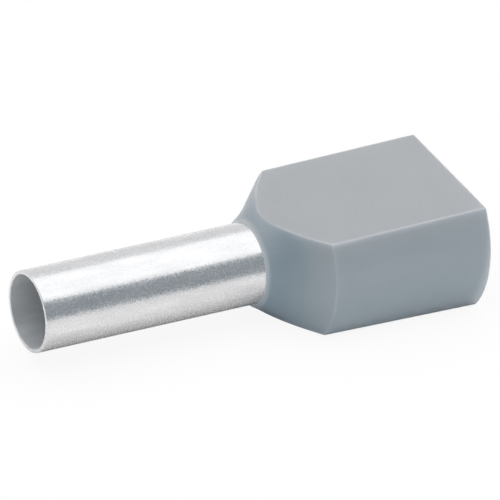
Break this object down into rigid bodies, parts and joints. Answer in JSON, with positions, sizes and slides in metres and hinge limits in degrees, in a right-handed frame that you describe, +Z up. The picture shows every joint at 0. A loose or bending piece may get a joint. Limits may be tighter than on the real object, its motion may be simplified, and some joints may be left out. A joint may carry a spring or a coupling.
{
  "type": "twin wire ferrule",
  "caption": "Insulated twin wire ferrule: a tinned copper sleeve in a grey plastic collar, whose flat oblong mouth takes insulated wires side by side.",
  "frame": {"origin": "centre of the sleeve's open tip, on the sleeve's axis", "axes": "+X along the sleeve from the open tip to the wire entry, Y across the two wires that lie side by side, +Z up, square to the collar's flat sides"},
  "size_m": [0.0238, 0.0094, 0.0058],
  "materials": {
    "tinned_copper": "satin",
    "collar_plastic": "satin"
  },
  "bodies": {
    "root": {"sleeve": "tinned_copper", "collar": "collar_plastic"}
  },
  "joints": []
}
